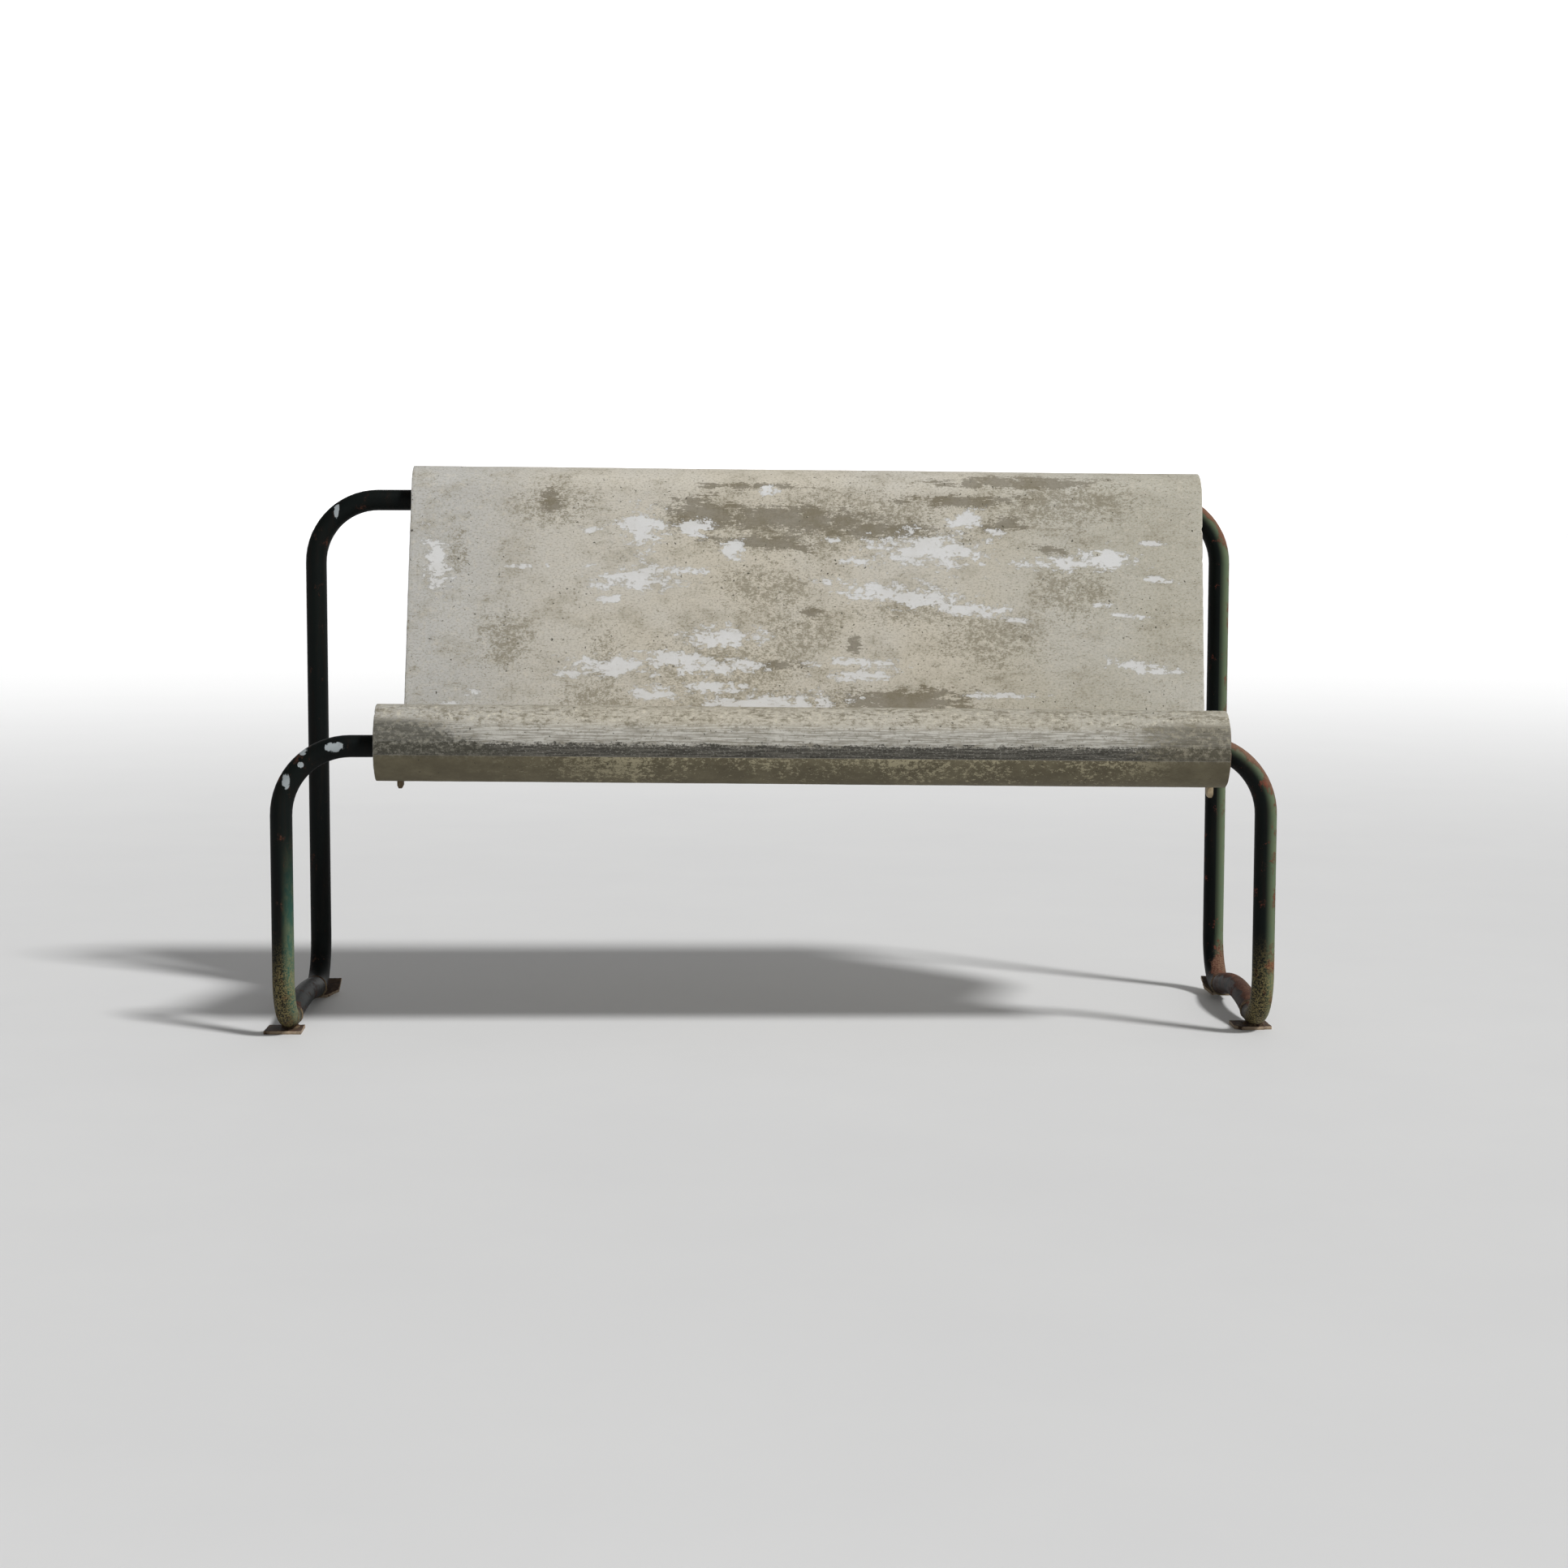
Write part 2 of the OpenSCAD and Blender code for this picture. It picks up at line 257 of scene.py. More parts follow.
# Places on the back where the top coat has come off: x, z, half width, half
# height, and how far the place falls to the right over its half width
FLAKES = [
    (-0.477, 0.632, 0.018, 0.040, 0.010), (-0.183, 0.684, 0.032, 0.028, 0.0),
    (-0.258, 0.684, 0.014, 0.005, 0.0), (-0.183, 0.615, 0.060, 0.017, 0.0),
    (-0.118, 0.624, 0.022, 0.004, 0.0), (-0.237, 0.602, 0.020, 0.007, 0.0),
    (-0.107, 0.686, 0.022, 0.012, 0.0), (-0.051, 0.656, 0.017, 0.014, 0.0),
    (-0.345, 0.631, 0.032, 0.003, 0.0), (-0.226, 0.584, 0.019, 0.005, 0.0),
    (-0.064, 0.531, 0.054, 0.014, 0.0), (-0.221, 0.490, 0.068, 0.013, 0.0),
    (-0.275, 0.479, 0.028, 0.005, 0.0), (-0.129, 0.498, 0.046, 0.013, 0.0),
    (-0.080, 0.490, 0.062, 0.013, 0.0), (-0.161, 0.452, 0.034, 0.009, 0.0),
    (-0.080, 0.460, 0.040, 0.009, 0.0), (-0.032, 0.435, 0.066, 0.013, 0.0),
    (-0.458, 0.430, 0.022, 0.009, 0.0), (-0.423, 0.454, 0.012, 0.004, 0.0),
    (0.000, 0.741, 0.012, 0.007, 0.0), (0.233, 0.652, 0.080, 0.023, 0.004),
    (0.119, 0.636, 0.018, 0.005, 0.0), (0.093, 0.668, 0.012, 0.004, 0.0),
    (0.284, 0.696, 0.030, 0.012, -0.006), (0.335, 0.678, 0.016, 0.006, 0.004),
    (0.422, 0.634, 0.052, 0.009, 0.0), (0.488, 0.640, 0.042, 0.015, 0.0),
    (0.549, 0.663, 0.026, 0.004, 0.002), (0.193, 0.590, 0.094, 0.015, 0.010),
    (0.284, 0.570, 0.056, 0.010, 0.006), (0.350, 0.555, 0.024, 0.005, 0.002),
    (0.565, 0.611, 0.026, 0.004, 0.003), (0.514, 0.560, 0.026, 0.004, 0.002),
    (0.473, 0.575, 0.020, 0.003, 0.0), (0.121, 0.494, 0.056, 0.006, 0.0),
    (0.131, 0.477, 0.048, 0.008, 0.0), (0.030, 0.436, 0.066, 0.014, -0.004),
    (0.325, 0.447, 0.038, 0.005, 0.0), (0.381, 0.448, 0.020, 0.003, 0.0),
    (0.524, 0.492, 0.036, 0.006, 0.004), (0.560, 0.481, 0.026, 0.004, 0.0),
]
# Dark smears and lighter mottled places on the back, given in the same way
SMEARS = [
    (0.030, 0.698, 0.190, 0.026, 0.010), (-0.095, 0.706, 0.080, 0.034, 0.0),
    (0.160, 0.682, 0.130, 0.018, 0.006), (0.366, 0.750, 0.170, 0.011, 0.002),
    (-0.312, 0.722, 0.022, 0.022, 0.0), (-0.020, 0.746, 0.110, 0.006, 0.0),
    (0.122, 0.518, 0.014, 0.020, 0.0), (0.190, 0.438, 0.150, 0.026, 0.0),
    (0.280, 0.724, 0.110, 0.012, 0.0), (0.405, 0.654, 0.036, 0.010, 0.006),
    (0.340, 0.690, 0.050, 0.016, 0.0), (-0.010, 0.664, 0.110, 0.014, 0.006),
    (0.060, 0.565, 0.030, 0.008, 0.0), (0.015, 0.490, 0.040, 0.010, 0.0),
]
MOTTLES = [
    (-0.377, 0.528, 0.042, 0.048, 0.0), (-0.447, 0.648, 0.020, 0.034, 0.0),
    (0.320, 0.525, 0.090, 0.045, 0.0), (-0.005, 0.600, 0.070, 0.040, 0.0),
    (-0.235, 0.500, 0.030, 0.050, 0.0), (0.220, 0.568, 0.110, 0.030, 0.0),
    (-0.060, 0.485, 0.130, 0.060, 0.0), (0.040, 0.540, 0.070, 0.040, 0.0),
    (0.080, 0.690, 0.260, 0.050, 0.0), (0.440, 0.600, 0.060, 0.050, 0.0),
    (-0.310, 0.720, 0.060, 0.035, 0.0), (0.000, 0.440, 0.160, 0.030, 0.0),
    (-0.250, 0.440, 0.060, 0.030, 0.0), (0.420, 0.720, 0.120, 0.040, 0.0),
]

# Where the front roll's colours change, from its free lip round towards the seat
SEAM_AT = 0.0608
DARK_TO = 0.0776
SCRATCHED_TO = 0.1036


def face_at(around):
    """Places and outward normals of the sheet's face, in its own frame, and its skew."""
    part = np.clip(np.searchsorted(RUN_ENDS, around, side="right") - 1, 0, 4)
    run = around - RUN_ENDS[part]
    share = run / np.array(RUNS)[part]
    back_y = SEAT_RUN + HOLLOW_R
    back_z = FRONT_ROLL_R + HOLLOW_R
    # Each arc: middle y, middle z, radius, start angle, turn, and +1 where the face is outside
    arcs = {
        0: (0, 0, FRONT_ROLL_R, math.pi / 2 + FRONT_WRAP, -FRONT_WRAP, 1),
        2: (SEAT_RUN, back_z, HOLLOW_R, 1.5 * math.pi, math.pi / 2, -1),
        4: (back_y + TOP_ROLL_R, back_z + BACK_RUN, TOP_ROLL_R, math.pi, -math.pi, 1),
    }
    place = np.zeros((len(around), 2))
    normal = np.zeros((len(around), 2))
    for index, (y, z, radius, start, turn, outward) in arcs.items():
        here = part == index
        angle = start + turn * share[here]
        spoke = np.stack([np.cos(angle), np.sin(angle)], 1)
        place[here] = np.array([y, z]) + radius * spoke
        normal[here] = outward * spoke
    seat = part == 1
    place[seat] = np.stack([run[seat], np.full(seat.sum(), FRONT_ROLL_R)], 1)
    normal[seat] = (0, 1)
    back = part == 3
    place[back] = np.stack([np.full(back.sum(), back_y), back_z + run[back]], 1)
    normal[back] = (-1, 0)
    skew = np.interp(
        around, RUN_ENDS, [0, 0, SEAT_SKEW, SEAT_SKEW, SEAT_SKEW + BACK_SKEW, SEAT_SKEW + BACK_SKEW]
    )
    return place, normal, skew


def section_loop():
    """Closed loop of (x, depth) round the sheet's section, and how many points its face has."""
    half = SHELL_LENGTH / 2 - EDGE_R
    xs = np.linspace(-half, half, round(2 * half / FACE_STEP) + 1)
    turns = np.linspace(0, math.pi / 2, CORNER_POINTS)
    corner = [(half + EDGE_R * math.sin(a), EDGE_R * (1 - math.cos(a))) for a in turns]
    right = corner + [(x, SHELL_T - depth) for x, depth in reversed(corner)]
    face = [(x, 0.0) for x in xs[1:-1]]
    under = [(x, SHELL_T) for x, _ in reversed(face)]
    left = [(-x, depth) for x, depth in reversed(right)]
    return np.array(face + right + under + left), len(face)


def nick(t, seed):
    """Depth of the wear on an edge at t: shallow everywhere, with a few deeper chips."""
    shallow = 0.0004 + 0.0004 * noise.noise((t * 60, seed, 0.0))
    chip = max(0.0, noise.noise((t * 45, seed, 7.0)) - 0.42) * 0.010
    return shallow + chip


def spread(points, places):
    """For each point, the largest of 1 - distance over the places, each an ellipse."""
    best = np.full(len(points), FAR_AWAY)
    for x, z, half_w, half_h, fall in places:
        across = (points[:, 0] - x) / half_w
        up = (points[:, 2] - z + fall * across) / half_h
        best = np.maximum(best, 1 - np.hypot(across, up))
    return best


def sheet_rows():
    """Rows of (distance round the profile, pinch of the thickness), with rounded lips."""
    inner = np.linspace(EDGE_R, SHEET_LENGTH - EDGE_R, PROFILE_ROWS)
    turns = np.linspace(0, math.pi / 2, CORNER_POINTS)[1:]
    lip = [(EDGE_R * (1 - math.sin(a)), EDGE_R * (1 - math.cos(a))) for a in turns]
    rows = [(s, pinch) for s, pinch in reversed(lip)] + [(s, 0.0) for s in inner]
    return rows + [(SHEET_LENGTH - s, pinch) for s, pinch in lip]


def worn_points(rows, loop):
    """Distance round the profile, x and depth of every point, with nicks and faint waves."""
    around, x, depth = [], [], []
    side_nicks = {side: [nick(s, 3.0 + side) for s, _ in rows] for side in (LEFT, RIGHT)}
    lip_nicks = {end: [nick(px, 11.0 + end) for px, _ in loop] for end in (0, 1)}
    for i, (s, pinch) in enumerate(rows):
        for j, (px, pd) in enumerate(loop):
            near_lip = math.exp(-s / WEAR_REACH)
            near_top = math.exp(-(SHEET_LENGTH - s) / WEAR_REACH)
            around.append(s + near_lip * lip_nicks[0][j] - near_top * lip_nicks[1][j])
            side = RIGHT if px > 0 else LEFT
            near_side = math.exp(-(SHELL_LENGTH / 2 - abs(px)) / WEAR_REACH)
            x.append(px - side * near_side * side_nicks[side][i])
            wave = 0.0005 * noise.noise((px * 4, s * 5, 1.0))
            ripple = 0.00015 * noise.noise((px * 40, s * 40, 2.0))
            depth.append(pinch + pd * (SHELL_T - 2 * pinch) / SHELL_T + (wave + ripple))
    return np.array(around), np.array(x), np.array(depth)


def lip_faces(face_count, count, last):
    """Quads that close the first and last rows, from the face straight across to the inside."""
    faces = []
    start = face_count + CORNER_POINTS
    order = [(start + k) % count for k in range(count)]
    for k in range(count // 2 - 1):
        a, b = order[k], order[k + 1]
        d, c = order[count - 1 - k], order[count - 2 - k]
        faces.append((d, c, b, a))
        faces.append((last + a, last + b, last + c, last + d))
    return faces


def build_shell(material):
    """The sheet, swept round its profile, with worn edges and slightly wavy faces."""
    loop, face_count = section_loop()
    rows = sheet_rows()
    around, x, depth = worn_points(rows, loop)
    place, normal, skew = face_at(around)
    local = np.column_stack([x + skew, place - depth[:, None] * normal])
    world = local @ np.array(SHEET.to_3x3()).T + np.array(SHEET.translation)

    count = len(loop)
    faces = ring_faces(len(rows), count) + lip_faces(face_count, count, (len(rows) - 1) * count)
    piece = make_piece("shell_sheet", world, faces, material, ["seat_shell"])

    mesh = piece.data
    on_face = depth < SHELL_T / 2
    on_back = (around > RUN_ENDS[2] + 0.02) & (around < RUN_ENDS[4] + 0.05)
    add_field(
        mesh, "sheet", "FLOAT_VECTOR",
        np.column_stack([x + SHELL_LENGTH / 2, around, np.where(on_face, 0.0, 1.0)]),
    )
    for name, places in {"flake": FLAKES, "smear": SMEARS, "mottle": MOTTLES}.items():
        values = np.where(on_face & on_back, spread(world, places), FAR_AWAY)
        add_field(mesh, name, "FLOAT", np.clip(values, FAR_AWAY, 1.0))
    return piece


class Sheet:
    """The sheet's own coordinates and the noises that its coat is mixed from."""

    def __init__(self, g):
        self.place = g.field("sheet", "Vector")
        self.along = g.axis(self.place, 0)
        self.around = g.axis(self.place, 1)
        self.under = g.axis(self.place, 2)
        # Each noise's stretch along and round the sheet, scale, detail, roughness, distortion
        self.broad = self.noise(g, 1, 1, 5.0, 3.0)
        self.cloudy = self.noise(g, 1, 1.4, 16.0, 8.0, 0.68)
        self.ragged = self.noise(g, 0.55, 1, 62.0, 9.0, 0.70, 0.3)
        self.spotty = self.noise(g, 0.85, 1, 120.0, 8.0, 0.80)
        self.fine = self.noise(g, 0.6, 1, 430.0, 6.0, 0.80)
        self.hatch = self.noise(g, 0.20, 1, 260.0, 7.0, 0.78)
        self.brushed = self.noise(g, 0.05, 1, 420.0, 4.0, 0.65)

    def noise(self, g, along, around, scale, detail, roughness=0.6, distortion=0.0):
        stretched = g.stretch(self.place, (along, around, 9))
        return g.noise(stretched, scale, detail, roughness, distortion)


def ground_coat(g, s):
    """Ground colour: bluish at the left end, cream in the middle, greenish at the right."""
    color = g.mix(g.step(s.along, 0.02, 0.32), srgb(180, 179, 175), srgb(197, 190, 175))
    color = g.mix(g.step(s.along, 0.70, 1.02), color, srgb(180, 176, 162))
    color = g.mix(g.step(s.broad, 0.35, 0.68, 0.0, 0.5), color, srgb(196, 194, 188))
    color = g.mix(g.step(s.cloudy, 0.46, 0.66, 0.0, 0.5), color, srgb(154, 147, 130))
    color = g.mix(g.step(s.spotty, 0.36, 0.50, 0.5, 0.0), color, srgb(204, 197, 181))
    color = g.mix(g.step(s.fine, 0.49, 0.61, 0.0, 0.6), color, srgb(140, 133, 115))
    return g.mix(g.step(s.brushed, 0.52, 0.75, 0.0, 0.2), color, srgb(208, 204, 194))


def mottled(g, s, color):
    """Olive mottling, denser in the named places."""
    named = g.step(g.field("mottle"), -0.5, 0.8)
    mottle = g.sum_of((named, 0.13), (s.spotty, 0.90), (s.fine, 0.65), (s.cloudy, 0.30))
    return g.mix(g.step(mottle, 0.97, 1.10, 0.0, 0.75), color, srgb(132, 125, 106))


def smeared(g, s, color):
    """Dark smears that break up into specks and hatching at their edges, and their mask."""
    smear = g.sum_of((g.field("smear"), 0.30), (s.ragged, 0.8), (s.hatch, 0.75), (s.fine, 0.35))
    smear = g.step(smear, 1.015, 1.075)
    smear_color = g.mix(g.step(s.cloudy, 0.4, 0.62), srgb(132, 126, 112), srgb(120, 112, 93))
    smear_color = g.mix(g.step(s.fine, 0.52, 0.66, 0.0, 0.5), smear_color, srgb(104, 98, 84))
    return g.paint(color, smear, 0.9, smear_color), smear


def roll_coat(g, s, color):
    """Front roll: speckled cream, scratched grey band, dark band, seam line, brown underside. The dark
    band and the underside are partly stain and partly painted shade.
    """
    on_roll = g.step(s.around, RUNS[0] + 0.02, RUNS[0] - 0.01)
    dirt = g.sum_of((s.hatch, 0.4), (s.spotty, 0.6), (s.ragged, 0.4))
    color = g.paint(color, on_roll, 0.35, srgb(150, 144, 128))
    color = g.paint(color, g.all_of(on_roll, g.step(dirt, 0.68, 0.80)), 0.85, srgb(112, 105, 86))
    color = g.paint(color, g.all_of(on_roll, g.step(s.spotty, 0.47, 0.38)), 0.7, srgb(204, 198, 180))
    brow = g.all_of(g.band(s.around, 0.142, 0.166, 0.006), g.step(s.hatch, 0.46, 0.58))
    color = g.paint(color, brow, 0.5, srgb(134, 128, 108))

    wander = g.sum_of((s.brushed, 0.008), (s.spotty, 0.034), (s.fine, 0.024), (s.around, 1.0))
    wander_mean = 0.033
    scratched_to = SCRATCHED_TO + wander_mean
    scratched = g.step(wander, scratched_to + 0.010, scratched_to - 0.010)
    scratch_color = g.mix(g.step(s.brushed, 0.42, 0.58), srgb(132, 129, 120), srgb(186, 184, 177))
    scratch_color = g.mix(g.step(s.spotty, 0.50, 0.60, 0.0, 0.5), scratch_color, srgb(118, 113, 98))
    color = g.paint(color, scratched, 0.8, scratch_color)

    # Dark band below the scratched band: partly stain, and partly painted shade where the roll turns
    # down away from the light.
    dark_to = DARK_TO + wander_mean
    dark = g.step(wander, dark_to + 0.0022, dark_to - 0.0016)
    stain_and_shade_color = g.mix(g.step(s.brushed, 0.42, 0.62), srgb(50, 48, 42), srgb(84, 81, 73))
    stain_and_shade_color = g.mix(g.step(s.fine, 0.53, 0.61, 0.0, 0.8), stain_and_shade_color, srgb(134, 132, 124))
    color = g.paint(color, dark, 0.95, stain_and_shade_color)

    # Brown underside below the seam: partly brown stain, and partly painted shade on the roll's
    # down-facing side.
    below = g.step(s.around, SEAM_AT + 0.0004, SEAM_AT - 0.0004)
    brown = g.mix(g.step(s.cloudy, 0.4, 0.65), srgb(92, 85, 66), srgb(108, 101, 80))
    brown = g.mix(g.step(s.fine, 0.5, 0.68, 0.0, 0.5), brown, srgb(84, 78, 62))
    crumbs = g.sum_of((s.spotty, 0.8), (s.fine, 0.5), (s.broad, 0.5), (s.around, 1.6))
    from_left, from_right = g.step(s.along, 0.05, 0.40), g.step(s.along, 1.10, 0.98)
    crumbs = g.all_of(g.step(crumbs, 0.985, 1.03), from_left, from_right)
    color = g.mix(below, color, g.paint(brown, crumbs, 0.8, srgb(168, 160, 132)))
    seam = g.band(s.around, SEAM_AT - 0.0002, SEAM_AT + 0.0006, 0.0003)
    return g.paint(color, seam, 0.6, srgb(140, 135, 121))


def stained_ends(g, s, color):
    """Dark stains at both ends of the front roll, above its seam."""
    middle = g.band(s.around, SEAM_AT, 0.112, 0.008)
    grain = g.step(s.spotty, 0.47, 0.60)
    left = g.sum_of((s.along, 1.0), (s.ragged, 0.16), (s.spotty, 0.22), (s.around, 2.2))
    left = g.all_of(middle, g.step(left, 0.54, 0.46))
    color = g.paint(color, left, 0.85, g.mix(grain, srgb(62, 60, 50), srgb(124, 121, 109)))
    right = g.sum_of((s.along, 1.0), (s.ragged, 0.16), (s.spotty, 0.16))
    right = g.all_of(middle, g.step(right, 1.15, 1.23))
    return g.paint(color, right, 0.8, g.mix(grain, srgb(82, 77, 62), srgb(138, 132, 114)))


def specked(g, s, color):
    """Sparse black specks, and their mask."""
    speck = g.noise(g.stretch(s.place, (1, 1, 9)), 190.0, 2.0, 0.5)
    where = g.noise(s.place, 9.0, 4.0)
    specks = g.step(g.sum_of((speck, 1.0), (where, 0.22)), 0.80, 0.84)
    return g.paint(color, specks, 0.85, srgb(62, 58, 46)), specks


def flaked_off(g, s, color):
    """White flaked places with ragged edges and a few islands left standing, and their mask."""
    flake = g.sum_of(
        (g.field("flake"), 0.21), (s.ragged, 1.05), (s.hatch, 0.50), (s.spotty, 0.80), (s.fine, 0.35)
    )
    flaked = g.step(flake, 1.376, 1.390)
    white = g.mix(g.step(s.cloudy, 0.4, 0.7), srgb(214, 214, 213), srgb(206, 205, 202))
    white = g.mix(g.step(s.fine, 0.5, 0.7, 0.0, 0.4), white, srgb(198, 196, 190))
    return g.mix(flaked, color, white), flaked


def worn_edges(g, s, color):
    """Worn cut edges at the ends, red-brown at the right end of the front roll."""
    right_cut = g.step(s.along, SHELL_LENGTH - EDGE_R, SHELL_LENGTH - 0.0006)
    edge = g.math("MAXIMUM", g.step(s.along, EDGE_R, 0.0006), right_cut)
    worn = g.mix(g.step(s.ragged, 0.45, 0.6), srgb(150, 146, 135), srgb(205, 203, 196))
    red_end = g.all_of(g.step(s.along, 1.0, 1.1), g.step(s.around, 0.115, 0.09))
    return g.paint(color, edge, 0.8, g.mix(red_end, worn, srgb(96, 68, 56)))


def plain_inside(g, s, color):
    """The inside, plainer and dirtier than the face."""
    inside = g.mix(g.step(s.cloudy, 0.34, 0.70), srgb(162, 156, 140), srgb(130, 124, 107))
    inside = g.mix(g.step(s.fine, 0.50, 0.66, 0.0, 0.5), inside, srgb(112, 106, 90))
    inside = g.mix(g.step(s.hatch, 0.48, 0.7, 0.0, 0.5), inside, srgb(186, 182, 170))
    return g.paint(color, s.under, 0.85, inside)


def shell_material():
    """Aged pale coat: mottled, smeared, speckled, streaked and flaked to white."""
    g = Graph("weathered_shell")
    s = Sheet(g)
    color = mottled(g, s, ground_coat(g, s))
    color, smear = smeared(g, s, color)
    color = stained_ends(g, s, roll_coat(g, s, color))
    color, specks = specked(g, s, color)
    color, flaked = flaked_off(g, s, color)
    color = plain_inside(g, s, worn_edges(g, s, color))
    roughness = g.sum_of((flaked, -0.08), (s.cloudy, 0.25), (smear, 0.10), (0.52, 1.0))
    height = g.sum_of(
        (flaked, -0.3), (s.fine, 0.45), (s.cloudy, 0.5), (s.hatch, 0.25), (specks, -0.5)
    )
    return g.finish(color, roughness, height, 0.0006)


# ---- Enamelled tubes ----

# White chips in the enamel: x, y, z, half width and half height. Each reaches as deep as this.
CHIP_DEPTH = 0.012
CHIPS = [
    (-0.589, -0.200, 0.398, 0.010, 0.005), (-0.632, -0.196, 0.392, 0.005, 0.004),
    (-0.654, -0.199, 0.352, 0.004, 0.008), (-0.634, -0.200, 0.374, 0.003, 0.003),
    (-0.626, 0.180, 0.710, 0.003, 0.009),
]


class Tube:
    """A tube's place and facing, the noises that its coat is mixed from, and its right half."""

    def __init__(self, g):
        self.place = g.node("ShaderNodeTexCoord", {}, "Object")
        self.facing = g.node("ShaderNodeNewGeometry", {}, "Normal")
        self.x = g.axis(self.place, 0)
        self.y = g.axis(self.place, 1)
        self.z = g.axis(self.place, 2)
        self.broad = g.noise(self.place, 7.0, 4.0)
        self.patchy = g.noise(self.place, 38.0, 9.0, 0.72)
        self.blotchy = g.noise(g.stretch(self.place, (1, 1, 0.4)), 75.0, 8.0, 0.75)
        self.gritty = g.noise(self.place, 420.0, 5.0, 0.8)
        self.runs = g.noise(g.stretch(self.place, (1, 1, 0.12)), 120.0, 5.0, 0.65)
        self.right = g.step(self.x, 0.2, 0.6)


def enamel_coat(g, t):
    """Nearly black on the sides away from the light, with painted light: blue-green on the sides that
    face the key light, on the right-hand tubes and the low front legs.
    """
    color = g.mix(g.step(t.broad, 0.35, 0.65), srgb(7, 11, 11), srgb(12, 18, 16))
    color = g.mix(g.step(t.runs, 0.45, 0.7, 0.0, 0.5), color, srgb(24, 19, 15))
    # Painted light: the side that faces the key light is painted lighter.
    lit_side = g.step(g.dot(t.facing, (0.95, -0.15, 0.25)), 0.0, 0.9)
    # Only the right-hand tubes and the low front legs get it. The other tubes keep the near-black
    # colour, which also stands for their shade.
    low_front = g.all_of(g.step(t.z, 0.30, 0.10), g.step(t.y, -0.12, -0.16))
    unshaded_tubes = g.math("MAXIMUM", t.right, low_front)
    painted_lit_color = g.mix(g.step(t.x, -0.3, 0.3), srgb(50, 86, 74), srgb(92, 106, 82))
    painted_lit_color = g.mix(g.step(t.blotchy, 0.42, 0.6, 0.0, 0.8), painted_lit_color, srgb(98, 108, 82))
    return g.mix(g.all_of(unshaded_tubes, lit_side), color, painted_lit_color)


def rusted(g, t, color):
    """Rust, densest on top of the right-hand tubes, painted darker as painted shade away from their lit
    sides, with red-brown flecks, and its mask.
    """
    outward = g.step(g.dot(t.facing, (0.75, -0.1, 0.65)), 0.0, 1.0)
    upward = g.step(g.dot(t.facing, (0.3, 0, 0.95)), 0.2, 1.0)
    foot = g.step(t.z, 0.11, 0.04)
    rust = g.sum_of(
        (t.patchy, 0.7), (t.blotchy, 0.5), (t.broad, 0.2), (g.all_of(outward, t.right), 0.10),
        (g.all_of(upward, t.right), 0.24), (foot, 0.06), (t.runs, 0.10),
    )
    rusty = g.step(rust, 0.84, 0.93)
    rust_color = g.mix(g.step(t.gritty, 0.38, 0.64), srgb(74, 42, 32), srgb(128, 98, 80))
    rust_color = g.mix(g.step(t.broad, 0.4, 0.6, 0.0, 0.6), rust_color, srgb(112, 66, 50))
    lit_rust = g.all_of(t.right, g.math("MAXIMUM", outward, upward))
    # Painted shade: rust away from the lit outer and upper sides of the right-hand tubes is painted
    # nearly black.
    rust_color = g.mix(g.step(lit_rust, 0.0, 0.6, 0.6, 0.0), rust_color, srgb(34, 22, 17))
    color = g.paint(color, rusty, 0.9, rust_color)
    flecks = g.all_of(t.right, g.step(g.sum_of((t.patchy, 1.0), (t.gritty, 0.35)), 0.79, 0.82))
    return g.paint(color, flecks, 0.7, srgb(116, 62, 48)), rusty


def dirtied(g, t, color):
    """Khaki grit on the front feet, and dull dust on what faces up on the right."""
    front_leg = g.step(t.y, -0.11, -0.15)
    grit = g.all_of(g.step(t.z, 0.15, 0.05), g.step(t.gritty, 0.47, 0.55), front_leg)
    color = g.paint(color, grit, 0.85, srgb(134, 122, 82))
    facing_up = g.step(g.dot(t.facing, (0.4, 0, 0.92)), 0.3, 0.9)
    dust = g.all_of(facing_up, g.step(t.patchy, 0.30, 0.5), t.right, g.step(t.z, 0.30, 0.36))
    color = g.paint(color, dust, 0.75, srgb(122, 94, 78))
    runner = g.all_of(g.step(t.y, -0.16, -0.10), g.step(t.y, 0.15, 0.08), g.step(t.z, 0.10, 0.05))
    runner_top = g.all_of(runner, t.right, g.step(t.patchy, 0.36, 0.54))
    return g.paint(color, runner_top, 0.7, srgb(62, 42, 35))


def chipped(g, t, color):
    """White chips in the enamel, and their mask."""
    chips = 0.0
    for cx, cy, cz, half_w, half_h in CHIPS:
        scale = (1 / half_w, 1 / CHIP_DEPTH, 1 / half_h)
        offset = (-cx / half_w, -cy / CHIP_DEPTH, -cz / half_h)
        apart = g.length(g.stretch(t.place, scale, offset))
        chip = g.sum_of((apart, -0.42), (t.patchy, 2.6), (t.blotchy, 1.8), (t.gritty, 0.5))
        chip = g.all_of(g.step(chip, 2.05, 2.10), g.step(apart, 1.5, 1.3))
        chips = g.math("MAXIMUM", chips, chip)
    return g.mix(chips, color, srgb(158, 165, 167)), chips


def tube_material():
    """Dark blue-green enamel with painted light and shade on its sides: rusted, gritty and chipped."""
    g = Graph("old_enamel")
    t = Tube(g)
    color, rusty = rusted(g, t, enamel_coat(g, t))
    color, chips = chipped(g, t, dirtied(g, t, color))
    roughness = g.sum_of((rusty, 0.3), (t.gritty, 0.12), (t.broad, 0.15), (0.42, 1.0))
    scaly = g.all_of(rusty, t.gritty)
    height = g.sum_of((rusty, 0.6), (scaly, 1.2), (t.gritty, 0.15), (t.patchy, 0.4), (chips, -0.6))
    return g.finish(color, roughness, height, 0.0004, 0.10)


# ---- Rusted steel ----

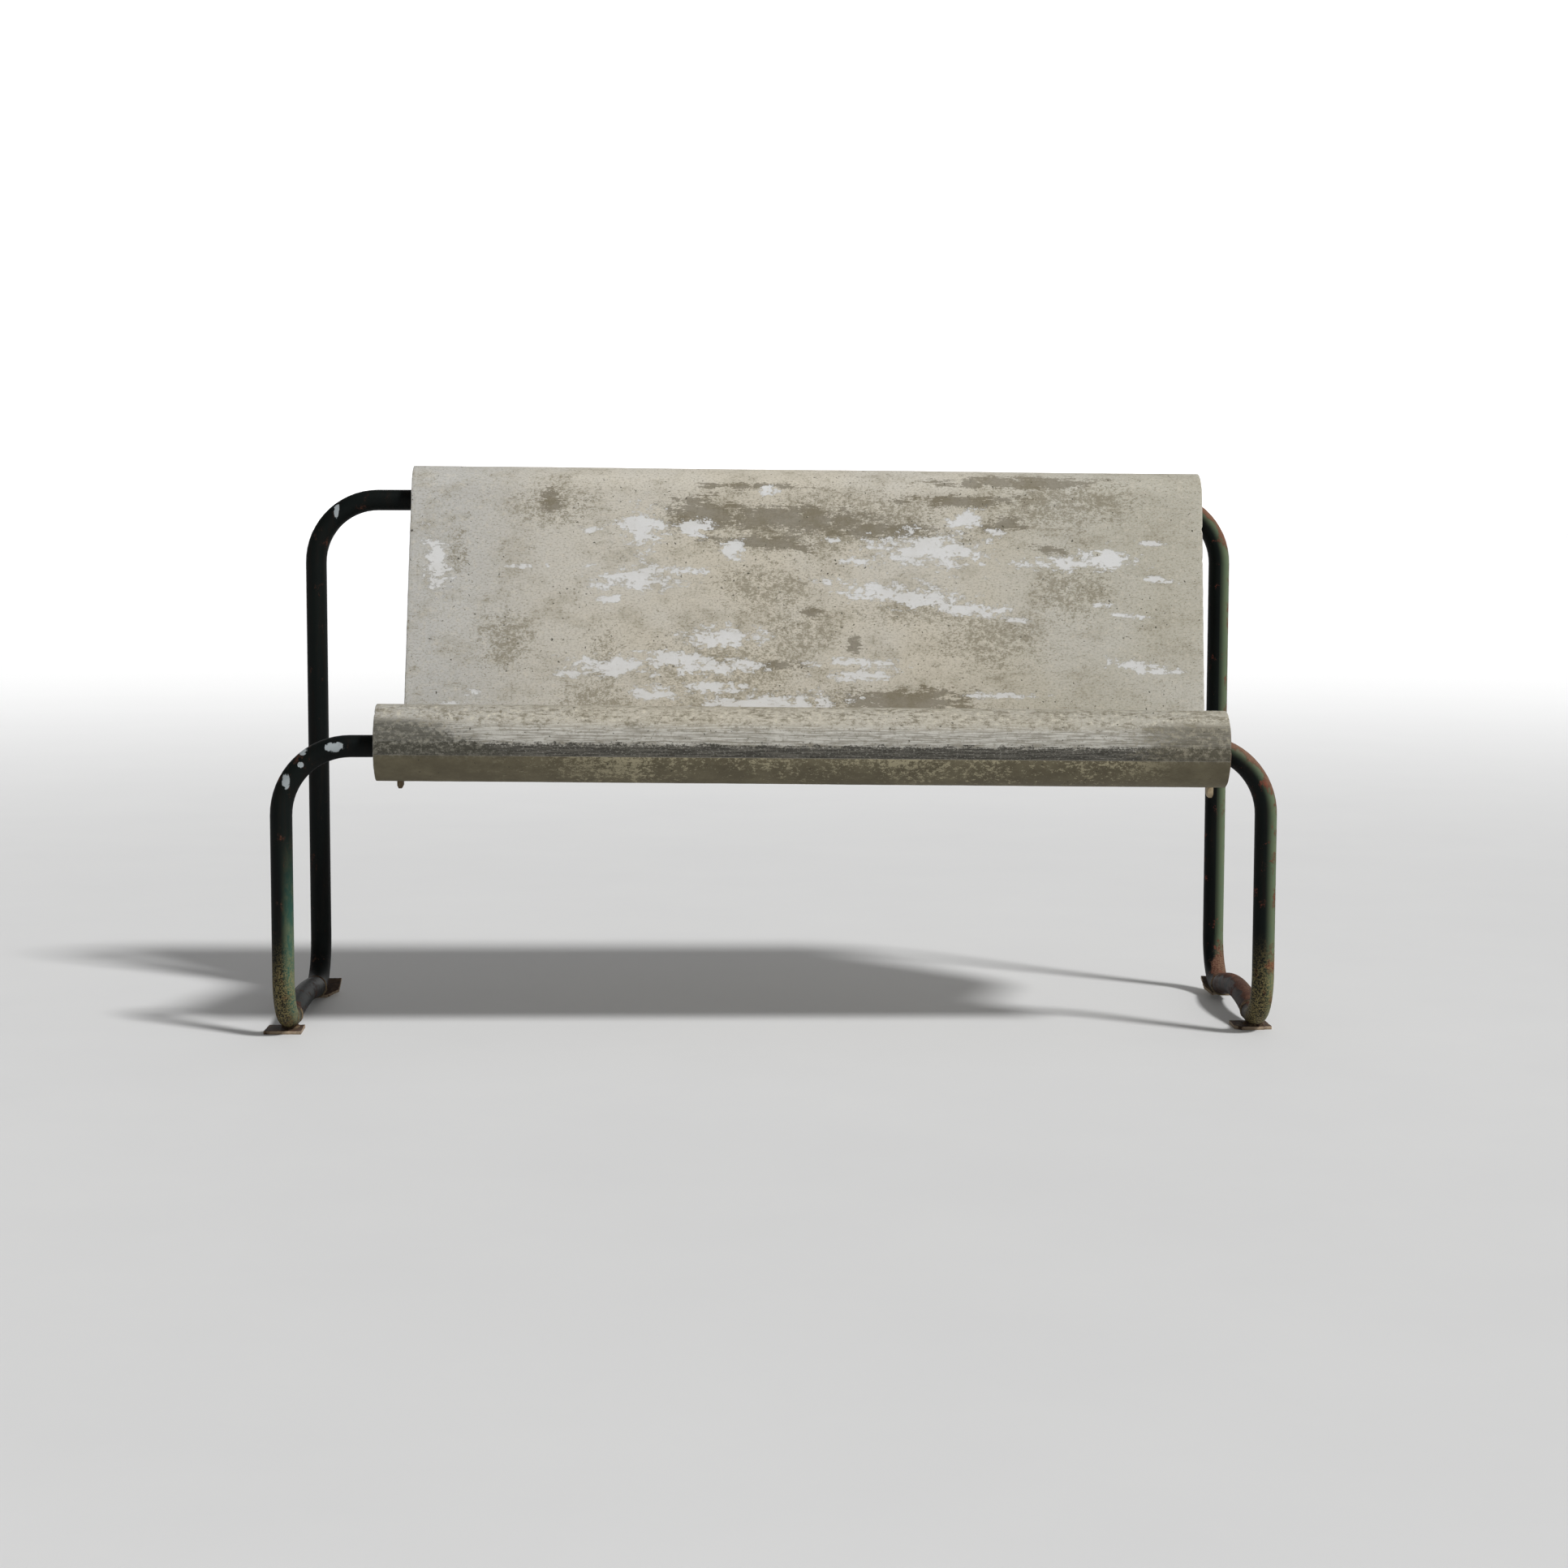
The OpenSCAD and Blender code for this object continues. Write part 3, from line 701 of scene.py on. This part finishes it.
def rust_material(name, dark, light, pale, scale):
    """Rusted steel: layered brown scale, pits and pale dusty crust, with painted shade on faces that
    point up and a pale rim that is partly crust and partly painted light.
    """
    g = Graph(name)
    place = g.node("ShaderNodeTexCoord", {}, "Object")
    layered = g.noise(place, 60.0 * scale, 8.0, 0.7, 0.4)
    pitted = g.noise(place, 300.0 * scale, 4.0, 0.7)
    crust = g.noise(place, 24.0 * scale, 6.0, 0.7)
    color = g.mix(g.step(layered, 0.38, 0.64), dark, light)
    color = g.mix(g.step(crust, 0.50, 0.66, 0.0, 0.6), color, pale)
    color = g.mix(g.step(pitted, 0.62, 0.72, 0.0, 0.7), color, srgb(34, 24, 19))
    up = g.dot(g.node("ShaderNodeNewGeometry", {}, "Normal"), (0, 0, 1))
    # Painted shade: faces that point up are painted darker.
    color = g.mix(g.step(up, 0.6, 0.9, 0.0, 0.6), color, srgb(44, 32, 25))
    # The pale rim on faces that point sideways is partly dusty crust and partly painted light.
    rim = g.all_of(g.step(up, 0.55, 0.25), g.step(layered, 0.36, 0.50))
    color = g.paint(color, rim, 0.65, pale)
    roughness = g.sum_of((layered, 0.3), (pitted, 0.15), (0.55, 1.0))
    height = g.sum_of((layered, 1.0), (pitted, -0.6), (crust, 0.8))
    return g.finish(color, roughness, height, 0.0007, 0.2)


def rib_material():
    """The shell's own sheet, stained brown, with cut marks across it."""
    g = Graph("stained_rib")
    place = g.node("ShaderNodeTexCoord", {}, "Object")
    cloudy = g.noise(place, 45.0, 7.0, 0.7)
    marks = g.noise(g.stretch(place, (6, 1, 1)), 160.0, 4.0, 0.6)
    gritty = g.noise(place, 400.0, 3.0, 0.7)
    right = g.step(g.axis(place, 0), -0.1, 0.1)
    color = g.mix(right, srgb(92, 78, 58), srgb(166, 150, 122))
    color = g.mix(g.step(cloudy, 0.42, 0.66, 0.0, 0.7), color, srgb(96, 76, 54))
    color = g.mix(g.step(marks, 0.5, 0.7, 0.0, 0.4), color, srgb(150, 140, 118))
    roughness = g.sum_of((cloudy, 0.25), (gritty, 0.1), (0.55, 1.0))
    height = g.sum_of((cloudy, 0.8), (marks, 0.5), (gritty, 0.3))
    return g.finish(color, roughness, height, 0.0005, 0.25)


# ---- Feet and welds ----

def leg_x(row, side):
    """Where the middle of a leg is, left or right."""
    return FRAME_X + SIDES[side] * LEG_SPACING[row] / 2


def at_foot(row, side):
    """Frame where a foot bend touches its plate, with Z square to the plate."""
    if row == "front":
        return Matrix.Translation((leg_x(row, side), RAIL_Y[row] + FOOT_BEND_R, PLATE_T))
    return (
        Matrix.Translation((leg_x(row, side), RAIL_Y[row] - FOOT_BEND_R, FOOT_Z + FOOT_BEND_R))
        @ Matrix.Rotation(REAR_PLATE_TILT, 4, "X")
        @ Matrix.Translation((0, 0, -FOOT_BEND_R - TUBE_R))
    )


def at_bend_end(row, side):
    """Frame in the joint between a foot bend and its runner, with Z along the tube."""
    slope = RUNNER_SLOPE[side]
    inward = 1 if row == "front" else -1
    reach = FOOT_BEND_R * (1 + math.sin(slope))
    rise = FOOT_Z + FOOT_BEND_R * (1 - math.cos(slope))
    return (
        Matrix.Translation((leg_x(row, side), RAIL_Y[row] + inward * reach, rise))
        @ Matrix.Rotation(math.pi / 2 * inward, 4, "Z")
        @ Matrix.Rotation(math.pi / 2 - slope, 4, "Y")
    )


# Each plate's corners from above, in millimetres from its middle, with +Y to the back, and
# where its middle sits in the foot's frame
PLATES = {
    ("front", "left"): (
        [(-26, -25), (26, -26), (25, 26), (-25, 25)],
        (-7, -8),
    ),
    ("front", "right"): (
        [(-26, -15), (-17, -26), (15, -26), (16, -23), (26, -22), (25, 26), (-26, 25)],
        (-3, 5),
    ),
    ("rear", "left"): (
        [(-26, -26), (9, -26), (26, -8), (26, 26), (-25, 25)],
        (4, 10.8),
    ),
    ("rear", "right"): (
        [(-16, -26), (-10, -23), (-6, -26), (26, -26), (26, 25), (-26, 26), (-26, -6)],
        (8, 10.8),
    ),
}
OUTLINE_STEP = 1.3

# A weld bead's half width along the tube and its height over the tube, in metres
BEAD_HALF_WIDTH = 0.0034
BEAD_HEIGHT = 0.0018

# How far a foot weld reaches from its middle, and each of its rings from the plate up to
# the tube, as a share of that reach and a height in metres
FILLET_REACH = {
    ("front", "left"): 0.0125, ("front", "right"): 0.0140,
    ("rear", "left"): 0.0125, ("rear", "right"): 0.0125,
}
FILLET_RINGS = [
    (0.97, -0.0006), (1.0, 0.0002), (0.93, 0.0016), (0.82, 0.0031),
    (0.68, 0.0044), (0.5, 0.0052), (0.25, 0.0055),
]
FILLET_TOP = 0.0056


def worn_outline(corners, seed):
    """Points one outline step apart round the corners, each moved a little inwards."""
    points = []
    for (ax, ay), (bx, by) in zip(corners, corners[1:] + corners[:1]):
        steps = max(2, round(math.hypot(bx - ax, by - ay) / OUTLINE_STEP))
        for i in range(steps):
            t = i / steps
            points.append((ax + (bx - ax) * t, ay + (by - ay) * t))
    worn = []
    for px, py in points:
        loss = 0.45 + 0.45 * noise.noise((px * 0.35, py * 0.35, seed))
        loss += 2.2 * max(0.0, noise.noise((px * 0.12, py * 0.12, seed + 5)) - 0.1)
        length = math.hypot(px, py)
        worn.append((px * (1 - loss / length), py * (1 - loss / length)))
    return worn


def build_plate(row, side, material):
    """A cut steel plate with worn edges, a softened rim and a scaly face."""
    corners, (mid_x, mid_y) = PLATES[row, side]
    seed = 10.0 * len(corners) + (3.0 if side == "left" else 8.0)
    outline = worn_outline(corners, seed)
    thick = PLATE_T * 1000
    # Rings from the middle of the top out over the rim to the middle of the underside
    rings = [(share, 0.0) for share in (0.25, 0.5, 0.7, 0.85, 0.93)]
    rings += [(0.985, -0.1), (0.998, -0.5), (1.0, -thick / 2)]
    rings += [(0.998, 0.5 - thick), (0.98, -thick)]
    rings += [(share, -thick) for share in (0.8, 0.4)]
    verts = [(0.0, 0.0, 0.0)]
    for share, z in rings:
        for px, py in outline:
            at_x, at_y = px * share, py * share
            scaly = 0.22 * noise.noise((at_x * 0.3, at_y * 0.3, seed + 9)) if z > -1 else 0.0
            verts.append((at_x, at_y, z + min(scaly, 0.1) - 0.05))
    verts.append((0.0, 0.0, -thick))
    count = len(outline)
    faces = [(0, 1 + j, 1 + (j + 1) % count) for j in range(count)]
    faces += [tuple(1 + v for v in reversed(face)) for face in ring_faces(len(rings), count)]
    tail = 1 + (len(rings) - 1) * count
    faces += [(len(verts) - 1, tail + (j + 1) % count, tail + j) for j in range(count)]
    place = at_foot(row, side)
    world = [
        place @ Vector(((px + mid_x) / 1000, (py + mid_y) / 1000, max(pz, -thick) / 1000))
        for px, py, pz in verts
    ]
    name = f"foot_plate_{row}_{side}"
    return make_piece(name + "_worn", world, faces, material, [name])


def build_bead(row, side, material):
    """A hand-laid bead round the joint of a foot bend and a runner."""
    steps, ring = 96, 10
    seed = 4.0 + SIDES[side] + (6.0 if row == "rear" else 0.0)
    place = at_bend_end(row, side)
    world = []
    for i in range(steps):
        turn = 2 * math.pi * i / steps
        cos, sin = math.cos(turn), math.sin(turn)
        ripple = 0.00025 * math.cos(turn * 26 + 2 * noise.noise((cos, sin, seed)))
        lump = 0.0006 * noise.noise((2 * cos, 2 * sin, seed + 3))
        drift = 0.0010 * noise.noise((1.5 * cos, 1.5 * sin, seed + 8))
        for j in range(ring):
            angle = 2 * math.pi * j / ring
            radius = TUBE_R - 0.0004 + (BEAD_HEIGHT + ripple + lump) * math.sin(angle)
            height = drift + (BEAD_HALF_WIDTH + lump) * math.cos(angle)
            world.append(place @ Vector((radius * cos, radius * sin, height)))
    faces = ring_faces(steps, ring, closed=True)
    name = f"weld_{row}_{side}"
    return make_piece(name + "_bead", world, faces, material, [name])


def build_foot_weld(row, side, material):
    """A lumpy fillet where a foot bend sits on its plate."""
    steps = 72
    seed = 20.0 + SIDES[side] + (5.0 if row == "rear" else 0.0)
    place = at_foot(row, side)
    reach = FILLET_REACH[row, side]
    verts = [(0.0, 0.0, FILLET_RINGS[0][1])]
    for share, z in FILLET_RINGS:
        for i in range(steps):
            turn = 2 * math.pi * i / steps
            cos, sin = math.cos(turn), math.sin(turn)
            lump = 1 + 0.16 * noise.noise((3 * cos, 3 * sin, seed)) + 0.05 * math.cos(turn * 19)
            radius = reach * share * lump
            rise = 1 + 0.2 * noise.noise((4 * cos, 4 * sin, seed + 2 + z * 300))
            verts.append((radius * cos, radius * sin * 1.15, z * rise))
    verts.append((0.0, 0.0, FILLET_TOP))
    faces = [(0, 1 + (j + 1) % steps, 1 + j) for j in range(steps)]
    faces += [tuple(1 + v for v in face) for face in ring_faces(len(FILLET_RINGS), steps)]
    tail = 1 + (len(FILLET_RINGS) - 1) * steps
    faces += [(len(verts) - 1, tail + j, tail + (j + 1) % steps) for j in range(steps)]
    world = [place @ Vector(v) for v in verts]
    name = f"foot_weld_{row}_{side}"
    return make_piece(name + "_fillet", world, faces, material, [name])


# ---- Build the object ----

plate_rust = rust_material("plate_rust", srgb(66, 46, 34), srgb(116, 92, 71), srgb(172, 156, 134), 1.0)
weld_rust = rust_material("weld_rust", srgb(52, 38, 28), srgb(98, 76, 56), srgb(116, 104, 80), 1.6)
screw_rust = rust_material("screw_rust", srgb(58, 42, 32), srgb(104, 82, 64), srgb(120, 108, 90), 2.5)
enamel = tube_material()
rib_sheet = rib_material()

build_shell(shell_material())
for row in ("front", "rear"):
    for side in ("left", "right"):
        build_plate(row, side, plate_rust)
        build_bead(row, side, weld_rust)
        build_foot_weld(row, side, weld_rust)

KEPT_NODES = {
    "front_hoop": enamel, "rear_hoop": enamel, "runner_left": enamel, "runner_right": enamel,
    "rib_front_left": rib_sheet, "rib_front_right": rib_sheet,
    "rib_top_left": rib_sheet, "rib_top_right": rib_sheet,
    "set_screws": screw_rust,
}
for name, material in KEPT_NODES.items():
    for material_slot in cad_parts[name].material_slots:
        material_slot.material = material


# ---- Floor, lights and camera ----

def build_floor():
    """Plain pale floor that runs to the horizon and fades to white there."""
    g = Graph("studio_floor")
    place = g.node("ShaderNodeTexCoord", {}, "Object")
    faint = g.noise(place, 3.0, 5.0)
    color = g.mix(faint, (0.66, 0.66, 0.66), (0.70, 0.70, 0.695))
    far = g.step(g.length(place), 1.5, 9.0)
    color = g.mix(far, color, (0.98, 0.98, 0.98))
    g.shader.inputs["Emission Color"].default_value = (1.0, 1.0, 1.0, 1.0)
    g.put(g.shader.inputs["Emission Strength"], g.math("MULTIPLY", far, 0.09))
    material = g.finish(color, 0.85, faint, 0.0005, 0.2)
    mesh = bpy.data.meshes.new("floor")
    far_edge = 40.0
    corners = [(x * far_edge, y * far_edge, 0) for x, y in ((-1, -1), (1, -1), (1, 1), (-1, 1))]
    mesh.from_pydata(corners, [], [(0, 1, 2, 3)])
    mesh.materials.append(material)
    floor = bpy.data.objects.new("floor", mesh)
    bpy.context.scene.collection.objects.link(floor)


def build_lights():
    """Soft high key from the right, and a pale world, dimmer on the left and white behind."""
    key = bpy.data.lights.new("key", "SUN")
    key.energy = 2.7
    key.angle = math.radians(9)
    key_object = bpy.data.objects.new("key", key)
    bpy.context.scene.collection.objects.link(key_object)
    toward = Vector((0.52, -0.42, 0.76))
    key_object.rotation_euler = toward.to_track_quat("Z", "Y").to_euler()

    world = bpy.data.worlds.new("studio")
    world.use_nodes = True
    tree = world.node_tree
    coord = tree.nodes.new("ShaderNodeTexCoord")
    split = tree.nodes.new("ShaderNodeSeparateXYZ")
    tree.links.new(coord.outputs["Generated"], split.inputs[0])

    def ramp(source, low, high, start, end):
        node = tree.nodes.new("ShaderNodeMapRange")
        node.interpolation_type = "SMOOTHSTEP"
        limits = {"From Min": low, "From Max": high, "To Min": start, "To Max": end}
        for limit, value in limits.items():
            node.inputs[limit].default_value = value
        tree.links.new(source, node.inputs["Value"])
        return node.outputs[0]

    def join(operation, a, b):
        node = tree.nodes.new("ShaderNodeMath")
        node.operation = operation
        tree.links.new(a, node.inputs[0])
        tree.links.new(b, node.inputs[1])
        return node.outputs[0]

    height = ramp(split.outputs["Z"], 0.25, 0.6, 1.0, 0.6)
    sideways = ramp(split.outputs["X"], -0.8, 0.6, 0.16, 0.60)
    behind = ramp(split.outputs["Y"], 0.75, 0.93, 0.0, 1.0)
    strength = join("ADD", join("MULTIPLY", height, sideways), behind)
    tree.links.new(strength, tree.nodes["Background"].inputs["Strength"])
    tree.nodes["Background"].inputs["Color"].default_value = (1.0, 1.0, 1.0, 1.0)
    bpy.context.scene.world = world


def build_camera():
    """About level with the back's top, a little left of the middle, looking slightly down."""
    place = (-0.1031, -4.325, 0.758)
    pitch, yaw, roll = 0.0991, 0.0281, 0.0020
    ahead = Vector((math.sin(yaw) * math.cos(pitch), math.cos(yaw) * math.cos(pitch), -math.sin(pitch)))
    across = Vector((math.cos(yaw), -math.sin(yaw), 0))
    up = across.cross(ahead)
    rolled_across = across * math.cos(roll) + up * math.sin(roll)
    rolled_up = up * math.cos(roll) - across * math.sin(roll)
    data = bpy.data.cameras.new("camera")
    data.sensor_width = 36.0
    data.lens = 70.81
    camera = bpy.data.objects.new("camera", data)
    bpy.context.scene.collection.objects.link(camera)
    turn = Matrix((rolled_across, rolled_up, -ahead)).transposed()
    camera.matrix_world = Matrix.Translation(place) @ turn.to_4x4()
    bpy.context.scene.camera = camera


build_floor()
build_lights()
build_camera()
bpy.context.scene.view_settings.view_transform = "Standard"
